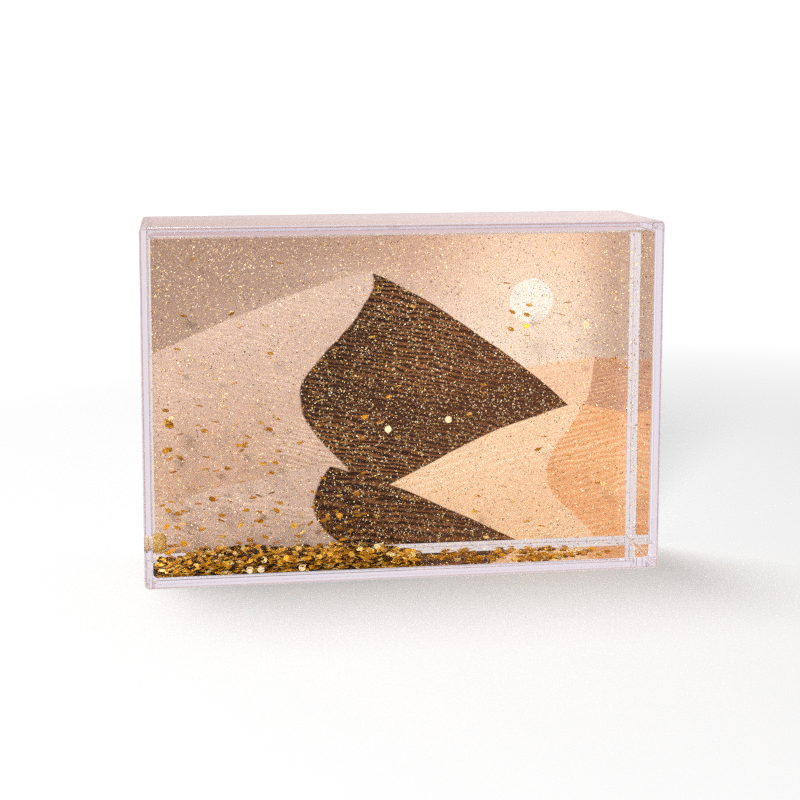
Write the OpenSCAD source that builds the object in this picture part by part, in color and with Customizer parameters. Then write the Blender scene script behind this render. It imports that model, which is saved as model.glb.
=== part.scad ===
// Clear block photo frame for a 10 x 15 cm print, landscape, filled with liquid and gold glitter.
// Millimetres. X runs along the long side, Y from the front face to the rear, Z up.
// The origin is at the middle of the base, on the surface that the frame stands on.

/* [Print] */
// Width of the paper print
print_w = 152; // [80:0.5:220]
// Height of the paper print
print_h = 100; // [70:0.5:160]
// Thickness of the paper print
print_t = 0.3; // [0.2:0.05:0.6]
// Room beside the print in its pocket
print_slack_w = 1.4; // [0.5:0.1:5]
// Room above the print in its pocket
print_slack_h = 0.3; // [0.3:0.1:5]
// Gap between the print and the pocket on the sides where it lies
print_play = 0.05; // [0.05:0.05:0.2]

/* [Case] */
// Thickness of the front plate
front_t = 3; // [2:0.1:4]
// Thickness of the top and bottom walls
wall_t = 2.8; // [2.4:0.1:3.4]
// Thickness of the left and right walls
side_t = 2.5; // [2.2:0.1:3.2]
// Radius of the four long outer corners
corner_r = 1.6; // [1:0.1:2]
// Chamfer round the front face
front_chamfer = 0.4; // [0.2:0.1:0.8]
// Depth of the liquid chamber behind the front plate
chamber_d = 23; // [18:0.5:40]
// Radius of the chamber's four long inner corners
chamber_r = 1.4; // [0.6:0.1:1.8]
// Width of the ledge that the chamber plate seats on
ledge_w = 0.6; // [0.5:0.1:1]
// Radius of the rear recess's four inner corners
recess_r = 0.8; // [0.5:0.1:1.4]

/* [Chamber plate] */
// Thickness of the clear plate that closes the chamber
plate_t = 2; // [1.5:0.1:2.6]
// Width of the glue line round the plate
bond_gap = 0.15; // [0.1:0.05:0.4]

/* [Fill port] */
// Bore of the fill port in the left wall
port_d = 4.4; // [3.6:0.1:5.2]
// Height of the port's axis above the chamber floor
port_rise = 8.5; // [6:0.1:12]
// Distance of the port's axis behind the front plate
port_back = 11; // [8:0.5:14]
// Diameter of the plug's head in its counterbore
plug_head_d = 5.6; // [5.4:0.1:7]
// Thickness of the plug's head
plug_head_t = 0.7; // [0.5:0.1:1]
// Diameter of the plug's bulb, which holds it from inside the chamber
plug_bulb_d = 6; // [5.4:0.1:7]
// Reach of the plug's bulb into the chamber
plug_nose = 4.2; // [2.4:0.1:4.8]
// Radius of the rounding on the bulb's end
plug_nose_r = 1.8; // [0.4:0.1:2.2]
// Thickness of the sealant disc over the plug's head
sealant_t = 0.4; // [0.2:0.1:0.6]

/* [Liquid and glitter] */
// Height of the air gap over the liquid
air_gap = 1.4; // [0.8:0.1:4]
// Length of the settled glitter bed from the left wall
bed_l = 80; // [50:1:110]
// Greatest height of the settled bed
bed_h = 3.2; // [1:0.1:4]
// Width of one flake across its corners
flake_w = 2.3; // [1.4:0.1:2.6]
// Thickness of one flake
flake_t = 0.15; // [0.1:0.05:0.2]
// Least distance between the middles of two suspended flakes
flake_pitch = 6; // [5.5:0.1:12]

/* [Rear insert] */
// Depth of the insert, front to rear
insert_d = 11.4; // [8:0.1:30]
// Gap between the insert and the case walls
insert_gap = 0.15; // [0.1:0.05:0.3]
// Gap between the insert's rim and the chamber plate
seat_gap = 0.1; // [0.05:0.05:0.3]
// Width of the rim above and below the print pocket
rim_w = 2.1; // [1:0.1:2.6]
// Width of the rim beside the print pocket
rim_side_w = 1; // [0.8:0.1:2]
// Thickness of the insert's panel
panel_t = 1.8; // [1.4:0.1:2.4]
// Thickness of the insert's side walls
skirt_t = 1.6; // [1.2:0.1:2.4]
// Distance of the insert's rear edge inside the case's rear edge
rear_inset = 0.5; // [0.2:0.1:1.5]
// Height of the grip rib
grip_h = 36; // [24:1:60]
// Thickness of the grip rib
grip_t = 2.4; // [1.8:0.1:4]
// Distance of the grip rib's edge inside the case's rear edge
grip_inset = 1.5; // [1:0.1:3]
// Radius of the hollows at the root of the grip rib
grip_root_r = 1; // [0.6:0.1:1.6]

/* [Hidden] */
$fn = 48;
overrun = 1;

// The case is built round the print: pocket, insert, rear recess, chamber, walls
pocket_w = print_w + print_slack_w;
pocket_h = print_h + print_slack_h;
insert_w = pocket_w + 2 * rim_side_w;
insert_h = pocket_h + 2 * rim_w;
recess_w = insert_w + 2 * insert_gap;
recess_h = insert_h + 2 * insert_gap;
chamber_w = recess_w - 2 * ledge_w;
chamber_h = recess_h - 2 * ledge_w;
case_w = chamber_w + 2 * side_t;
case_h = chamber_h + 2 * wall_t;
case_d = front_t + chamber_d + plate_t + seat_gap + insert_d + rear_inset;

// What fits in these
plate_w = recess_w - 2 * bond_gap;
plate_h = recess_h - 2 * bond_gap;
plate_r = recess_r - bond_gap;
insert_r = recess_r - insert_gap;
hollow_w = insert_w - 2 * skirt_t;
hollow_h = insert_h - 2 * skirt_t;

// Places along the depth, front to rear
front_y = -case_d / 2;
rear_y = case_d / 2;
chamber_y = front_y + front_t;
ledge_y = chamber_y + chamber_d;
plate_rear_y = ledge_y + plate_t;
insert_y = plate_rear_y + seat_gap;
pocket_d = print_t + print_play;
panel_y = insert_y + pocket_d;
hollow_y = panel_y + panel_t;
insert_rear_y = rear_y - rear_inset;

// Heights and side places
mid_z = case_h / 2;
floor_z = wall_t;
level_z = case_h - wall_t - air_gap;
left_x = -chamber_w / 2;
port_y = chamber_y + port_back;
port_z = floor_z + port_rise;
print_x = print_play - pocket_w / 2;
print_z = mid_z - pocket_h / 2 + print_play;

// Outline of the settled bed: shares of its length and of its height, wall first
bed_shares = [
    [0, 0.3], [0.11, 0.36], [0.17, 0.82], [0.36, 1], [0.6, 0.9], [0.86, 0.8], [0.95, 0.45], [1, 0]
];

// Rules for the suspended flakes: most drift low on the left
flake_seed = 15;
sparse_share = 0.14;
dense_share = 0.95;
drift_w_share = 0.5;
drift_h_share = 0.5;
flake_margin = flake_w + plug_nose;
flake_columns = floor((chamber_w - 2 * flake_margin) / flake_pitch);
flake_rows = floor((level_z - floor_z - bed_h - 2 * flake_w) / flake_pitch);
flake_cells = flake_columns * flake_rows;
keep_draw = rands(0, 1, flake_cells, flake_seed);
across_draw = rands(-1, 1, flake_cells, flake_seed + 1);
depth_draw = rands(0, 1, flake_cells, flake_seed + 2);
rise_draw = rands(-1, 1, flake_cells, flake_seed + 3);
tilt_draw = rands(-1, 1, flake_cells, flake_seed + 4);
turn_draw = rands(-1, 1, flake_cells, flake_seed + 5);
flake_jitter = (flake_pitch - flake_w) / 2;
flake_tilt = 18;
flake_depth_room = chamber_d - 2 * flake_w;

// Colours
clear_tint = [0.93, 0.93, 0.97, 0.3];
liquid_tint = [0.97, 0.95, 0.9, 0.25];
glue_tint = [0.95, 0.93, 0.85, 0.5];
gold_tint = [0.78, 0.52, 0.14];
amber_tint = [0.62, 0.4, 0.12];
plug_tint = [0.93, 0.86, 0.62, 0.8];
paper_tint = [0.83, 0.7, 0.6];

// A rectangle with four round corners, about the origin
module round_rectangle(w, h, r) {
    square([w - 2 * r, h], center = true);
    square([w, h - 2 * r], center = true);
    for (side = [-1, 1], level = [-1, 1])
        translate([side * (w / 2 - r), level * (h / 2 - r)]) circle(r);
}

// A slab of that outline, upright about the middle of the case, from one depth to another
module slab(w, h, r, y_from, y_to) {
    translate([0, y_to, mid_z]) rotate([90, 0, 0])
        linear_extrude(y_to - y_from) round_rectangle(w, h, r);
}

// A bar of square section turned on edge, which cuts one front chamfer
module chamfer_bar(length) {
    rotate([45, 0, 0])
        cube([length, front_chamfer * sqrt(2), front_chamfer * sqrt(2)], center = true);
}

// Front plate and four walls in one moulding, with the ledge, the rear recess and the port
module clear_case() {
    color(clear_tint)
    difference() {
        slab(case_w, case_h, corner_r, front_y, rear_y);
        slab(chamber_w, chamber_h, chamber_r, chamber_y, ledge_y + overrun);
        slab(recess_w, recess_h, recess_r, ledge_y, rear_y + overrun);
        for (z = [0, case_h]) translate([0, front_y, z]) chamfer_bar(case_w + overrun);
        for (x = [-case_w / 2, case_w / 2])
            translate([x, front_y, mid_z]) rotate([0, 90, 0]) chamfer_bar(case_h + overrun);
        port_space();
    }
}

// The bore of the fill port and the counterbore for the plug's head
module port_space() {
    translate([-case_w / 2, port_y, port_z]) rotate([0, 90, 0]) {
        translate([0, 0, -overrun]) cylinder(d = port_d, h = side_t + 2 * overrun);
        translate([0, 0, -overrun]) cylinder(d = plug_head_d, h = overrun + sealant_t + plug_head_t);
    }
}

// Clear plate glued on the ledge, which closes the chamber
module chamber_plate() {
    color(clear_tint) slab(plate_w, plate_h, plate_r, ledge_y, plate_rear_y);
}

// Bead of glue all round, between the plate's edge and the recess wall
module bond_bead() {
    color(glue_tint)
    difference() {
        slab(recess_w, recess_h, recess_r, ledge_y, plate_rear_y);
        slab(plate_w, plate_h, plate_r, ledge_y - overrun, plate_rear_y + overrun);
    }
}

// Soft plug in the left wall: head, shank and a round bulb that stands in the liquid
module fill_plug() {
    wall_run = side_t - sealant_t;
    color(plug_tint)
    translate([sealant_t - case_w / 2, port_y, port_z]) rotate([0, 90, 0])
    rotate_extrude() {
        square([plug_head_d / 2, plug_head_t]);
        square([port_d / 2, wall_run + plug_nose / 2]);
        translate([0, wall_run]) {
            square([plug_bulb_d / 2, plug_nose - plug_nose_r]);
            square([plug_bulb_d / 2 - plug_nose_r, plug_nose]);
            translate([plug_bulb_d / 2 - plug_nose_r, plug_nose - plug_nose_r])
                intersection() {
                    circle(plug_nose_r);
                    square(plug_nose_r);
                }
        }
    }
}

// Disc of sealant over the plug's head, flush with the left wall
module plug_sealant() {
    color(glue_tint)
    translate([-case_w / 2, port_y, port_z]) rotate([0, 90, 0])
        cylinder(d = plug_head_d, h = sealant_t);
}

// Everything in the chamber under the liquid's level
module liquid_space() {
    intersection() {
        slab(chamber_w, chamber_h, chamber_r, chamber_y, ledge_y);
        translate([-case_w / 2, front_y, 0]) cube([case_w, case_d, level_z]);
    }
}

// The liquid, with room for the plug's bulb, the bed and the suspended flakes
module liquid_fill() {
    color(liquid_tint)
    difference() {
        liquid_space();
        bed_prism();
        fill_plug();
        flakes();
    }
}

// Outline of the settled bed, carried through past both faces of the chamber
module bed_prism() {
    top = [for (s = bed_shares) [left_x + s[0] * bed_l, floor_z + s[1] * bed_h]];
    base = [[left_x + bed_l, floor_z - overrun], [left_x - overrun, floor_z - overrun]];
    corner = [[left_x - overrun, floor_z + bed_shares[0][1] * bed_h]];
    translate([0, rear_y, 0]) rotate([90, 0, 0])
        linear_extrude(case_d) polygon(concat(top, base, corner));
}

// Glitter that has settled on the floor, from the left wall to past the middle
module settled_glitter() {
    color(amber_tint)
    intersection() {
        liquid_space();
        bed_prism();
    }
}

// True where the rule keeps a flake in this cell of the grid
function kept(i, column, row) =
    let (
        left_share = max(0, 1 - column / (flake_columns * drift_w_share)),
        low_share = max(0, 1 - row / (flake_rows * drift_h_share))
    )
    keep_draw[i] < sparse_share + dense_share * sqrt(left_share * low_share);

// Six-sided flakes, one at most in each cell of a grid across the chamber
module flakes() {
    for (column = [0 : flake_columns - 1], row = [0 : flake_rows - 1]) {
        i = column * flake_rows + row;
        if (kept(i, column, row))
            translate([
                left_x + flake_margin + (column + 0.5) * flake_pitch + across_draw[i] * flake_jitter,
                chamber_y + flake_w + depth_draw[i] * flake_depth_room,
                floor_z + bed_h + flake_w + (row + 0.5) * flake_pitch + rise_draw[i] * flake_jitter
            ])
            rotate([tilt_draw[i] * flake_tilt, turn_draw[i] * flake_tilt, 0])
                cylinder(d = flake_w, h = flake_t, center = true, $fn = 6);
    }
}

// The suspended flakes
module floating_flakes() {
    color(gold_tint) flakes();
}

// Paper print, low and left in its pocket as it lies in use
module photo_print() {
    color(paper_tint)
    translate([print_x, insert_y, print_z]) cube([print_w, print_t, print_h]);
}

// Rear insert: a shallow tray that pushes in from behind and holds the print to the plate
module rear_insert() {
    grip_d = rear_y - grip_inset - hollow_y;
    root_w = grip_t + 2 * grip_root_r;
    color(clear_tint) {
        difference() {
            slab(insert_w, insert_h, insert_r, insert_y, insert_rear_y);
            translate([-pocket_w / 2, insert_y - overrun, mid_z - pocket_h / 2])
                cube([pocket_w, pocket_d + overrun, pocket_h]);
            translate([-hollow_w / 2, hollow_y, mid_z - hollow_h / 2])
                cube([hollow_w, case_d, hollow_h]);
        }
        difference() {
            translate([-root_w / 2, hollow_y - panel_t / 2, mid_z - grip_h / 2])
                cube([root_w, grip_d + panel_t / 2, grip_h]);
            for (side = [-1, 1]) {
                translate([side * root_w / 2, hollow_y + grip_root_r, mid_z - grip_h / 2 - overrun])
                    cylinder(r = grip_root_r, h = grip_h + 2 * overrun);
                translate([
                    side * root_w / 2 - grip_root_r,
                    hollow_y + grip_root_r,
                    mid_z - grip_h / 2 - overrun
                ])
                    cube([2 * grip_root_r, grip_d, grip_h + 2 * overrun]);
            }
        }
    }
}

clear_case();
chamber_plate();
bond_bead();
fill_plug();
plug_sealant();
liquid_fill();
settled_glitter();
floating_flakes();
photo_print();
rear_insert();
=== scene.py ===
# Looks for the clear block photo frame with liquid and gold glitter.
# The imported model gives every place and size. Lengths are in millimetres unless a comment says otherwise.
import math

import bmesh
import bpy
import numpy as np
from mathutils import Euler, Matrix, Vector


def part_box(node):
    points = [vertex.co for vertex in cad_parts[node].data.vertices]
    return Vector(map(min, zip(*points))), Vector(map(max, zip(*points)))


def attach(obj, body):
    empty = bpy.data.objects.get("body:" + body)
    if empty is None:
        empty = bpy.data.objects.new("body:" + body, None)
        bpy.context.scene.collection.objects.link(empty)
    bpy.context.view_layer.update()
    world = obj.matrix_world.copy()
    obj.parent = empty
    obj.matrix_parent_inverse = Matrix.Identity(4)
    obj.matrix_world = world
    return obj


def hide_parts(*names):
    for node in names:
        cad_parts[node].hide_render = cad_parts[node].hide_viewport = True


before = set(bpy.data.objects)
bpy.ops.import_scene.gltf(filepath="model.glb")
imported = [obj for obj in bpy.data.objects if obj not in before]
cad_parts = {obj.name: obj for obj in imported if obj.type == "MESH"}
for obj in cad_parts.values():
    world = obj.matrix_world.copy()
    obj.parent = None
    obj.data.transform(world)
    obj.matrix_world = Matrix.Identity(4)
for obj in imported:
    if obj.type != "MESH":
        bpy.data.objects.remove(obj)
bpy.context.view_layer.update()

MM = 0.001

# Places and sizes from the frame


def box_mm(node):
    """Lowest and highest corner of a CAD node, in millimetres."""
    low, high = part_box(node)
    return Vector(low) / MM, Vector(high) / MM


case_low, case_high = box_mm("clear_case")
liquid_low, liquid_high = box_mm("liquid_fill")
plate_low, plate_high = box_mm("chamber_plate")
bead_low, bead_high = box_mm("bond_bead")
insert_low, insert_high = box_mm("rear_insert")
print_low, print_high = box_mm("photo_print")
plug_low, plug_high = box_mm("fill_plug")
sealant_low, sealant_high = box_mm("plug_sealant")
bed_low, bed_high = box_mm("settled_glitter")

mid_z = case_high.z / 2
floor_z = liquid_low.z
level_z = liquid_high.z
wall = floor_z - case_low.z
side_wall = liquid_low.x - case_low.x
ledge_y = plate_low.y
chamber_y = liquid_low.y
print_w = print_high.x - print_low.x
print_h = print_high.z - print_low.z
plug_y = (plug_low.y + plug_high.y) / 2
plug_z = (plug_low.z + plug_high.z) / 2
plug_head_r = (sealant_high.z - sealant_low.z) / 2
bed_length = bed_high.x - bed_low.x
bed_rise = bed_high.z - bed_low.z

# Sizes that the frame's boxes don't give, as in the CAD
CORNER_R = 1.6
CHAMBER_R = 1.4
RECESS_R = 0.8
POCKET_PLAY = 0.05
RIM_W = 2.1
RIM_SIDE_W = 1.0
PANEL_T = 1.8
SKIRT_T = 1.6
GRIP_T = 2.4
GRIP_H = 36.0
GRIP_INSET = 1.5
GRIP_ROOT_R = 1.0
PORT_D = 4.4
PLUG_HEAD_T = 0.7
PLUG_NOSE_R = 1.8

# Roundings of edges and corners, and the steps of their arcs
FRONT_EDGE_R = 0.5
REAR_EDGE_R = 0.35
HOLLOW_CORNER_R = 0.3
HOLLOW_FLOOR_R = 0.25
INNER_EDGE_R = 0.2
POCKET_CORNER_R = 0.15
SMALL_EDGE_R = 0.05
FINE_EDGE_R = 0.04
CARD_CORNER_R = 0.4
CORNER_STEPS = 6
BEND_STEPS = 4
ROUND_STEPS = 48
SHARP_ANGLE = math.radians(35)

# Gaps and overlaps where pieces meet
LIQUID_GAP = 0.05
BULB_GAP = 0.1
SEAT_GAP = 0.02
SEAT_OVERLAP = 0.02
RIB_SINK = 0.5
CUT_OVERRUN = 1.0

# Meshes


def new_piece(name, verts, faces, body, replaced=(), smooth=True):
    """A mesh from vertices in millimetres, which rides on a body and may stand for CAD nodes."""
    mesh = bpy.data.meshes.new(name)
    mesh.from_pydata([tuple(MM * c for c in v) for v in verts], [], faces)
    mesh.validate()
    piece = bpy.data.objects.new(name, mesh)
    bpy.context.scene.collection.objects.link(piece)
    mesh.polygons.foreach_set("use_smooth", [smooth] * len(mesh.polygons))
    if smooth:
        mesh.set_sharp_from_angle(angle=SHARP_ANGLE)
    mesh.update()
    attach(piece, body)
    if replaced:
        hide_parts(*replaced)
    return piece


def even_normals(piece):
    """Keeps large faces flat to the eye beside small rounded edges."""
    weigh = piece.modifiers.new("even_normals", "WEIGHTED_NORMAL")
    weigh.weight = 100
    weigh.keep_sharp = True


def quarter_turn(steps):
    """Sine and cosine at even steps through a quarter turn."""
    angles = [math.pi / 2 * step / steps for step in range(steps + 1)]
    return [(math.sin(angle), math.cos(angle)) for angle in angles]


def rounded_rectangle(half_w, half_h, radius):
    """Points of a rounded rectangle about the origin, anticlockwise."""
    points = []
    for quarter, (side, level) in enumerate([(1, 1), (-1, 1), (-1, -1), (1, -1)]):
        for step in range(CORNER_STEPS + 1):
            angle = math.pi / 2 * (quarter + step / CORNER_STEPS)
            points.append((
                side * (half_w - radius) + radius * math.cos(angle),
                level * (half_h - radius) + radius * math.sin(angle),
            ))
    return points


def rounded_path(corners, closed):
    """Points of a path of (inset, depth, ring radius, bend radius) corners, each bend as an arc.

    A fifth number at a corner is what its inset has more at the top and bottom than at the sides.
    An open path starts and ends in flat caps, so its ends turn inwards."""
    inwards = Vector((1, 0))
    path = []
    for i, (inset, depth, ring_r, bend, *more) in enumerate(corners):
        here = Vector((inset, depth))
        last = i == len(corners) - 1
        before = Vector(corners[i - 1][:2]) - here if i or closed else inwards
        after = Vector(corners[(i + 1) % len(corners)][:2]) - here if closed or not last else inwards
        for sine, cosine in quarter_turn(BEND_STEPS):
            spot = here + bend * (1 - sine) * before.normalized()
            spot += bend * (1 - cosine) * after.normalized()
            path.append((spot.x, spot.y, ring_r + inset - spot.x, sum(more)))
    return path


def loft(rings, closed):
    """Vertices and faces that join rings of equal length: closed in a loop, or with a cap at each end."""
    size = len(rings[0])
    verts = [v for ring in rings for v in ring]
    faces = []
    for i in range(len(rings) if closed else len(rings) - 1):
        a = i * size
        b = (i + 1) % len(rings) * size
        for j in range(size):
            k = (j + 1) % size
            faces.append((a + j, a + k, b + k, b + j))
    if not closed:
        faces.append(tuple(reversed(range(size))))
        faces.append(tuple(range(len(verts) - size, len(verts))))
    return verts, faces


def lofted_piece(name, rings, body, replaced=(), closed=False):
    """A smooth piece lofted through rings, with every face turned outwards."""
    verts, faces = loft(rings, closed)
    piece = new_piece(name, verts, faces, body, replaced)
    work = bmesh.new()
    work.from_mesh(piece.data)
    bmesh.ops.recalc_face_normals(work, faces=work.faces)
    work.to_mesh(piece.data)
    work.free()
    return piece


def ring_solid(name, low, high, corners, body, replaced, closed=False):
    """A solid lofted along the depth from rounded rectangles about the middle of the case.

    Its corners' insets count from the outline of the box from low to high."""
    half_w = (high.x - low.x) / 2
    half_h = (high.z - low.z) / 2
    rings = []
    for inset, depth, ring_r, more in rounded_path(corners, closed):
        outline = rounded_rectangle(half_w - inset, half_h - inset - more, max(ring_r, SMALL_EDGE_R))
        rings.append([(x, depth, mid_z + z) for x, z in outline])
    return lofted_piece(name, rings, body, replaced, closed)


def port_solid(name, profile, replaced=()):
    """A solid turned about the fill port's axis, from (x, radius) points."""
    turns = [2 * math.pi * step / ROUND_STEPS for step in range(ROUND_STEPS)]
    rings = []
    for x, r in profile:
        rings.append([(x, plug_y + r * math.cos(turn), plug_z + r * math.sin(turn)) for turn in turns])
    return lofted_piece(name, rings, "case", replaced)


def cut(piece, tool, operation="DIFFERENCE"):
    """Applies an exact boolean of the tool to the piece, and removes the tool."""
    change = piece.modifiers.new("cut", "BOOLEAN")
    change.operation = operation
    change.solver = "EXACT"
    change.object = tool
    bpy.context.view_layer.update()
    shaped = bpy.data.meshes.new_from_object(piece.evaluated_get(bpy.context.evaluated_depsgraph_get()))
    piece.modifiers.remove(change)
    old = piece.data
    piece.data = shaped
    shaped.name = old.name
    bpy.data.meshes.remove(old)
    bpy.data.objects.remove(tool)
    shaped.set_sharp_from_angle(angle=SHARP_ANGLE)


# Case, plate and glue


def make_case():
    """Front plate and four walls, with the ledge, the rear recess and the fill port."""
    recess = bead_low.x - case_low.x
    more = wall - side_wall
    case = ring_solid("case_shell", case_low, case_high, [
        (0, case_low.y, CORNER_R, FRONT_EDGE_R),
        (0, case_high.y, CORNER_R, REAR_EDGE_R),
        (recess, case_high.y, RECESS_R, REAR_EDGE_R, more),
        (recess, ledge_y, RECESS_R, SMALL_EDGE_R, more),
        (side_wall, ledge_y, CHAMBER_R, SMALL_EDGE_R, more),
        (side_wall, chamber_y, CHAMBER_R, INNER_EDGE_R, more),
    ], "case", ["clear_case"])
    head_x = plug_low.x + PLUG_HEAD_T
    port = port_solid("port_tool", [
        (case_low.x - CUT_OVERRUN, plug_head_r), (head_x, plug_head_r),
        (head_x, PORT_D / 2), (case_low.x + side_wall + CUT_OVERRUN, PORT_D / 2),
    ])
    cut(case, port)
    even_normals(case)
    return case


def make_plate():
    """The plate that closes the chamber from behind."""
    plate = ring_solid("chamber_rear_plate", plate_low, plate_high, [
        (0, plate_low.y + SEAT_GAP, RECESS_R, SMALL_EDGE_R),
        (0, plate_high.y, RECESS_R, SMALL_EDGE_R),
    ], "case", ["chamber_plate"])
    even_normals(plate)
    return plate


def make_bead():
    """The glue line round the plate's edge."""
    width = plate_low.x - bead_low.x
    front = bead_low.y + SEAT_OVERLAP
    rear = bead_high.y - SMALL_EDGE_R
    return ring_solid("glue_line", bead_low, bead_high, [
        (SEAT_OVERLAP, front, RECESS_R, FINE_EDGE_R),
        (SEAT_OVERLAP, rear, RECESS_R, FINE_EDGE_R),
        (width - SEAT_OVERLAP, rear, RECESS_R - width, FINE_EDGE_R),
        (width - SEAT_OVERLAP, front, RECESS_R - width, FINE_EDGE_R),
    ], "case", ["bond_bead"], closed=True)


# Rear insert and card


def make_insert():
    """The rear insert: pocket, rim, skirt, panel and grip rib."""
    panel_y = insert_low.y + (print_high.y - print_low.y) + POCKET_PLAY
    hollow_y = panel_y + PANEL_T
    more = RIM_W - RIM_SIDE_W
    tray = ring_solid("insert_tray", insert_low, insert_high, [
        (RIM_SIDE_W, panel_y, POCKET_CORNER_R, FINE_EDGE_R, more),
        (RIM_SIDE_W, insert_low.y, POCKET_CORNER_R, FINE_EDGE_R, more),
        (0, insert_low.y, RECESS_R, SMALL_EDGE_R),
        (0, insert_high.y, RECESS_R, REAR_EDGE_R),
        (SKIRT_T, insert_high.y, HOLLOW_CORNER_R, REAR_EDGE_R),
        (SKIRT_T, hollow_y, HOLLOW_CORNER_R, HOLLOW_FLOOR_R),
    ], "insert", ["rear_insert"])
    cut(tray, make_rib(hollow_y), "UNION")
    even_normals(tray)
    return tray


def make_rib(hollow_y):
    """The grip rib, with hollows along its root and rounded rear edges."""
    rib_top = case_high.y - GRIP_INSET
    root = GRIP_T / 2 + GRIP_ROOT_R
    half = [(root, hollow_y - RIB_SINK), (root, hollow_y)]
    for sine, cosine in quarter_turn(BEND_STEPS + 1)[1:]:
        half.append((root - GRIP_ROOT_R * sine, hollow_y + GRIP_ROOT_R * (1 - cosine)))
    for sine, cosine in quarter_turn(BEND_STEPS):
        half.append((GRIP_T / 2 - REAR_EDGE_R * (1 - cosine), rib_top - REAR_EDGE_R * (1 - sine)))
    outline = half + [(-x, y) for x, y in reversed(half)]
    rings = [[(x, y, mid_z + side * GRIP_H / 2) for x, y in outline] for side in (-1, 1)]
    return lofted_piece("rib_tool", rings, "insert")


def make_card():
    """The printed card."""
    middle = Vector((print_low.x + print_high.x, 0, print_low.z + print_high.z)) / 2
    edge = FINE_EDGE_R
    rings = []
    for y, inset in (
        (print_low.y, edge), (print_low.y + edge, 0), (print_high.y - edge, 0), (print_high.y, edge),
    ):
        outline = rounded_rectangle(print_w / 2 - inset, print_h / 2 - inset, CARD_CORNER_R)
        rings.append([(middle.x + x, y, middle.z + z) for x, z in outline])
    return lofted_piece("printed_card", rings, "insert", ["photo_print"])


# Liquid, plug and sealant

# The liquid's surface at the walls: how far it climbs, how fast that fades, the most in a corner as a
# share of the climb, and the distances from a wall at which it bends
MENISCUS_RISE = 0.55
MENISCUS_REACH = 1.3
MENISCUS_MOST = 1.25
MENISCUS_STEPS = [0, 0.12, 0.3, 0.55, 0.9, 1.4, 2.1, 3.2, 5]

# Radii of the flat middles that the plug's and the sealant's outer faces start from
PLUG_CAP_R = 0.4
SEALANT_CAP_R = 0.3

# The sealant's dished face: its depth in the middle, then depths at shares of its radius
DISH_DEPTH = 0.14
DISH_SHARES = [(0.12, 0.5), (0.05, 0.85), (0.01, 1.0)]
SEALANT_BACK_GAP = 0.01


def make_liquid():
    """The liquid, with its surface drawn up a little along the walls."""
    left = liquid_low.x + LIQUID_GAP
    right = liquid_high.x - LIQUID_GAP
    front = liquid_low.y + LIQUID_GAP
    rear = liquid_high.y - LIQUID_GAP
    corner_z = floor_z + LIQUID_GAP + CHAMBER_R

    def across(low, high):
        """Places from one wall to the other, close together near the walls."""
        return [low + s for s in MENISCUS_STEPS] + [high - s for s in reversed(MENISCUS_STEPS)]

    def surface(x, y):
        """Height of the liquid's surface."""
        to_side = min(x - left, right - x)
        to_face = min(y - front, rear - y)
        lift = math.exp(-to_side / MENISCUS_REACH) + math.exp(-to_face / MENISCUS_REACH)
        return level_z + MENISCUS_RISE * min(lift, MENISCUS_MOST)

    def ring(y, inset):
        """The liquid's outline at one depth, drawn in by an inset at the front's rounded edge."""
        radius = CHAMBER_R - inset
        points = [(x, y, surface(x, y)) for x in reversed(across(left + inset, right - inset))]
        for middle_x, start in ((left + CHAMBER_R, math.pi), (right - CHAMBER_R, 1.5 * math.pi)):
            for step in range(CORNER_STEPS + 1):
                angle = start + math.pi / 2 * step / CORNER_STEPS
                points.append((middle_x + radius * math.cos(angle), y, corner_z + radius * math.sin(angle)))
        return points

    rings = []
    for sine, cosine in quarter_turn(BEND_STEPS):
        rings.append(ring(front + INNER_EDGE_R * (1 - cosine), INNER_EDGE_R * (1 - sine)))
    rings += [ring(y, 0) for y in across(front, rear) if y > front + INNER_EDGE_R]
    liquid = lofted_piece("liquid_body", rings, "case", ["liquid_fill"])
    even_normals(liquid)
    return liquid


def make_plug():
    """The soft plug in its port, with a round bulb in the liquid."""
    head_r = plug_head_r + SEAT_OVERLAP
    head_x = plug_low.x + PLUG_HEAD_T
    shank_r = PORT_D / 2 + SEAT_OVERLAP
    bulb_r = (plug_high.z - plug_low.z) / 2
    bulb_x = liquid_low.x + BULB_GAP
    nose_x = plug_high.x - PLUG_NOSE_R
    profile = [
        (plug_low.x, PLUG_CAP_R), (plug_low.x, head_r), (head_x, head_r), (head_x, shank_r),
        (bulb_x, shank_r), (bulb_x, bulb_r),
    ]
    for sine, cosine in quarter_turn(2 * BEND_STEPS):
        profile.append((nose_x + PLUG_NOSE_R * sine, bulb_r - PLUG_NOSE_R * (1 - cosine)))
    return port_solid("port_plug", profile, ["fill_plug"])


def make_sealant():
    """The sealant over the plug's head, sunk a little in the middle."""
    radius = plug_head_r + SEAT_OVERLAP
    profile = [(sealant_low.x + DISH_DEPTH, SEALANT_CAP_R)]
    profile += [(sealant_low.x + depth, share * radius) for depth, share in DISH_SHARES]
    profile.append((sealant_high.x - SEALANT_BACK_GAP, radius))
    return port_solid("port_sealant", profile, ["plug_sealant"])


# Glitter

FLAKE_R = 1.15
FLAKE_T = 0.12
FLAKE_SIDES = 6
# A six-sided flake looks the same again after this turn
FLAKE_TURN = math.pi / 3
# How far a flake moves off the rounded corner, as a share of what the corner takes away at its height
CORNER_SHARE = 0.7


def many(points, faces, turns, places):
    """Vertices and faces of many closed shapes, from each one's points, rotation matrix and place."""
    size = points.shape[1]
    verts = np.einsum("nij,nkj->nki", turns, points) + places[:, None]
    all_faces = [tuple(size * n + i for i in face) for n in range(len(places)) for face in faces]
    return verts.reshape(-1, 3), all_faces


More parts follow.
